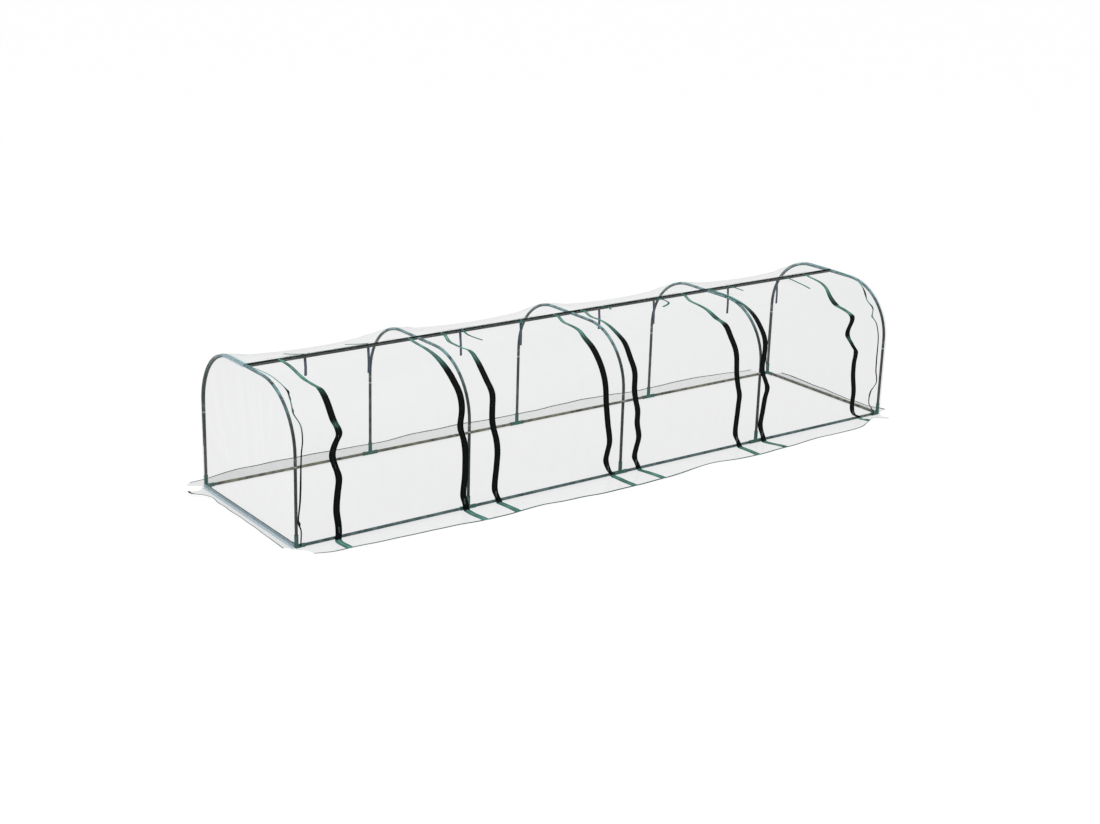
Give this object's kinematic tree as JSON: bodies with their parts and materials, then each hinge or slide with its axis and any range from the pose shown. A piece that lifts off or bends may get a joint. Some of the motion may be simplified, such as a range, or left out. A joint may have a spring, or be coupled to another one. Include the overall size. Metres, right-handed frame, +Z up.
{
  "type": "tunnel greenhouse",
  "caption": "Low tunnel greenhouse: a frame of steel hoops, ground rails and a ridge under a clear film cover with zipped roll-up doors and ground skirts.",
  "frame": {"origin": "on the ground, at the middle of the tunnel's length and depth", "axes": "+X along the tunnel, +Y from the doors towards the back, +Z up"},
  "size_m": [4.2006, 1.3006, 0.8018],
  "materials": {
    "painted_tube": "satin",
    "moulded_plastic": "satin",
    "clear_film": "gloss",
    "zip_tape": "matte",
    "slider_metal": "satin",
    "hem_binding": "matte",
    "tie_tape": "matte"
  },
  "bodies": {
    "frame": {"hoop_top_1": "painted_tube", "hoop_top_2": "painted_tube", "hoop_top_3": "painted_tube", "hoop_top_4": "painted_tube", "hoop_top_5": "painted_tube", "front_leg_1": "painted_tube", "front_leg_2": "painted_tube", "front_leg_3": "painted_tube", "front_leg_4": "painted_tube", "front_leg_5": "painted_tube", "back_leg_1": "painted_tube", "back_leg_2": "painted_tube", "back_leg_3": "painted_tube", "back_leg_4": "painted_tube", "back_leg_5": "painted_tube", "front_rail_1": "painted_tube", "front_rail_2": "painted_tube", "front_rail_3": "painted_tube", "front_rail_4": "painted_tube", "back_rail_1": "painted_tube", "back_rail_2": "painted_tube", "back_rail_3": "painted_tube", "back_rail_4": "painted_tube", "end_rail_left": "painted_tube", "end_rail_right": "painted_tube", "ridge_tube_1": "painted_tube", "ridge_tube_2": "painted_tube", "ridge_tube_3": "painted_tube", "ridge_tube_4": "painted_tube", "corner_front_left": "moulded_plastic", "corner_front_right": "moulded_plastic", "corner_back_left": "moulded_plastic", "corner_back_right": "moulded_plastic", "base_tee_front_2": "moulded_plastic", "base_tee_front_3": "moulded_plastic", "base_tee_front_4": "moulded_plastic", "base_tee_back_2": "moulded_plastic", "base_tee_back_3": "moulded_plastic", "base_tee_back_4": "moulded_plastic", "cover_back": "clear_film", "end_panel_left": "clear_film", "end_panel_right": "clear_film", "front_strip_1": "clear_film", "front_strip_2": "clear_film", "front_strip_3": "clear_film", "front_strip_4": "clear_film", "front_strip_5": "clear_film"},
    "door_1": {"door_1": "clear_film"},
    "door_2": {"door_2": "clear_film"},
    "door_3": {"door_3": "clear_film"},
    "door_4": {"door_4": "clear_film"},
    "zip_slider_1": {"zip_slider_1": "slider_metal"},
    "zip_slider_2": {"zip_slider_2": "slider_metal"},
    "zip_slider_3": {"zip_slider_3": "slider_metal"},
    "zip_slider_4": {"zip_slider_4": "slider_metal"},
    "zip_slider_5": {"zip_slider_5": "slider_metal"},
    "zip_slider_6": {"zip_slider_6": "slider_metal"},
    "zip_slider_7": {"zip_slider_7": "slider_metal"},
    "zip_slider_8": {"zip_slider_8": "slider_metal"}
  },
  "joints": [
    {"name": "door_1_hinge", "type": "hinge", "parent": "frame", "child": "door_1", "pos_m": [-1.395, 0, 0.8018], "axis": [-1, 0, 0], "range_deg": [0, 110]},
    {"name": "door_2_hinge", "type": "hinge", "parent": "frame", "child": "door_2", "pos_m": [-0.465, 0, 0.8018], "axis": [-1, 0, 0], "range_deg": [0, 110]},
    {"name": "door_3_hinge", "type": "hinge", "parent": "frame", "child": "door_3", "pos_m": [0.465, 0, 0.8018], "axis": [-1, 0, 0], "range_deg": [0, 110]},
    {"name": "door_4_hinge", "type": "hinge", "parent": "frame", "child": "door_4", "pos_m": [1.395, 0, 0.8018], "axis": [-1, 0, 0], "range_deg": [0, 110]},
    {"name": "zip_1_slide", "type": "slide", "parent": "door_1", "child": "zip_slider_1", "axis": [-0.0748, 0, 0.9972], "range_m": [0, 0.4011]},
    {"name": "zip_2_slide", "type": "slide", "parent": "door_1", "child": "zip_slider_2", "axis": [-0.0748, 0, 0.9972], "range_m": [0, 0.4011]},
    {"name": "zip_3_slide", "type": "slide", "parent": "door_2", "child": "zip_slider_3", "axis": [-0.0748, 0, 0.9972], "range_m": [0, 0.4011]},
    {"name": "zip_4_slide", "type": "slide", "parent": "door_2", "child": "zip_slider_4", "axis": [-0.0748, 0, 0.9972], "range_m": [0, 0.4011]},
    {"name": "zip_5_slide", "type": "slide", "parent": "door_3", "child": "zip_slider_5", "axis": [-0.0748, 0, 0.9972], "range_m": [0, 0.4011]},
    {"name": "zip_6_slide", "type": "slide", "parent": "door_3", "child": "zip_slider_6", "axis": [-0.0748, 0, 0.9972], "range_m": [0, 0.4011]},
    {"name": "zip_7_slide", "type": "slide", "parent": "door_4", "child": "zip_slider_7", "axis": [-0.0748, 0, 0.9972], "range_m": [0, 0.4011]},
    {"name": "zip_8_slide", "type": "slide", "parent": "door_4", "child": "zip_slider_8", "axis": [-0.0748, 0, 0.9972], "range_m": [0, 0.4011]}
  ]
}
